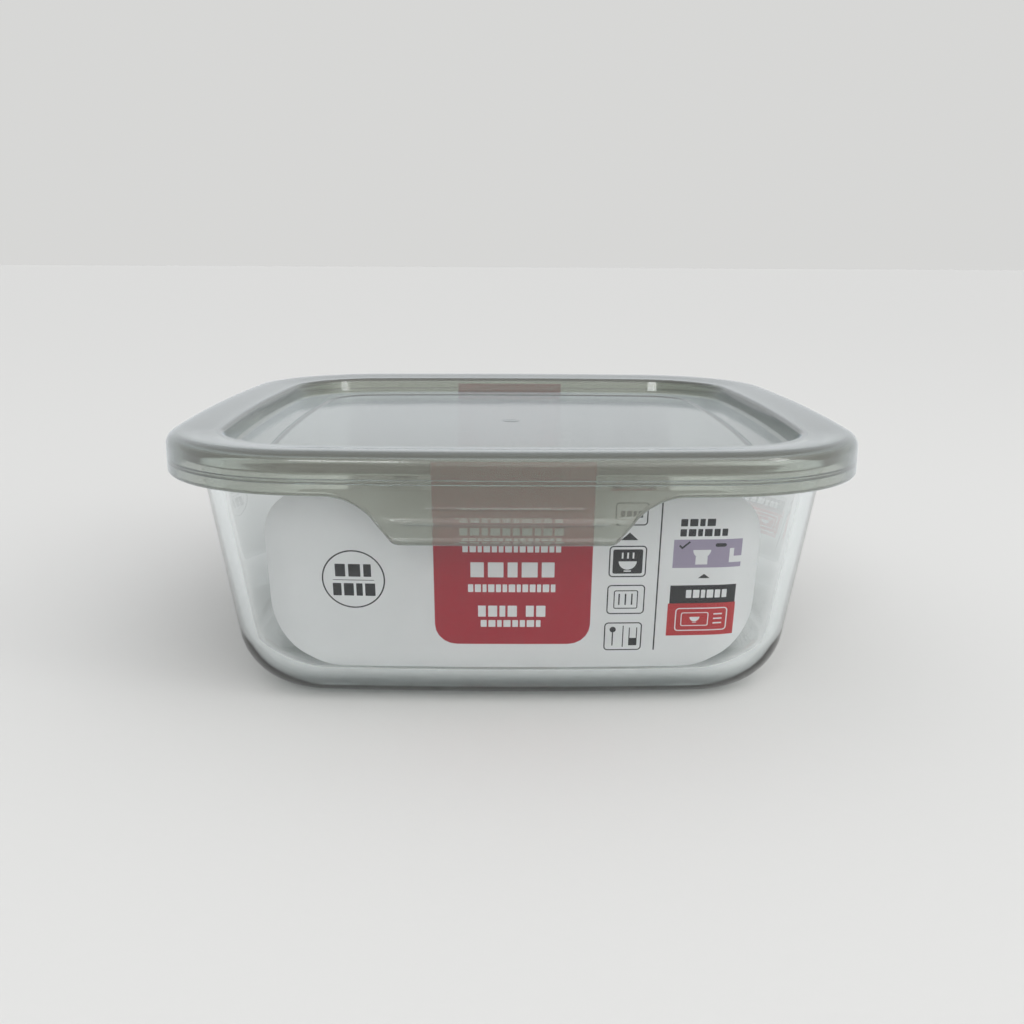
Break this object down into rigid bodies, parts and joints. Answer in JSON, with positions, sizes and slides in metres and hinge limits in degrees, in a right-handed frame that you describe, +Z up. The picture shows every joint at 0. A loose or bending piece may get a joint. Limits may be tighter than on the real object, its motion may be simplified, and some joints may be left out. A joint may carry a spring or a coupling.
{
  "type": "snap lid food container",
  "caption": "Square glass food container with a soft one-piece snap lid, a flexing pull tab and printed card inserts inside its front and back walls.",
  "frame": {"origin": "centre of the flat base of the glass bowl, on the surface it stands on", "axes": "+Z up out of the bowl; the lid's pull tab faces -Y; X runs along the pull tab's hinge line"},
  "size_m": [0.172, 0.1728, 0.065],
  "materials": {
    "glass": "clear pressed borosilicate glass with a faint cyan tint in its thick edges",
    "lid_plastic": "soft translucent grey plastic, glossy, hazier on the middle panel",
    "card": "white satin-coated card with printed shapes"
  },
  "bodies": {
    "bowl": {"glass_bowl": "glass", "front_card": "card", "back_card": "card"},
    "lid": {"lid": "lid_plastic"},
    "tab": {"pull_tab": "lid_plastic"}
  },
  "joints": [
    {"name": "lid_lift", "type": "slide", "parent": "bowl", "child": "lid", "axis": [0, 0, 1], "range_m": [0, 0.08]},
    {"name": "tab_flex", "type": "hinge", "parent": "lid", "child": "tab", "pos_m": [0, -0.086, 0.0553], "axis": [-1, 0, 0], "range_deg": [0, 40], "stiffness_Nm_per_rad": 0.05}
  ]
}
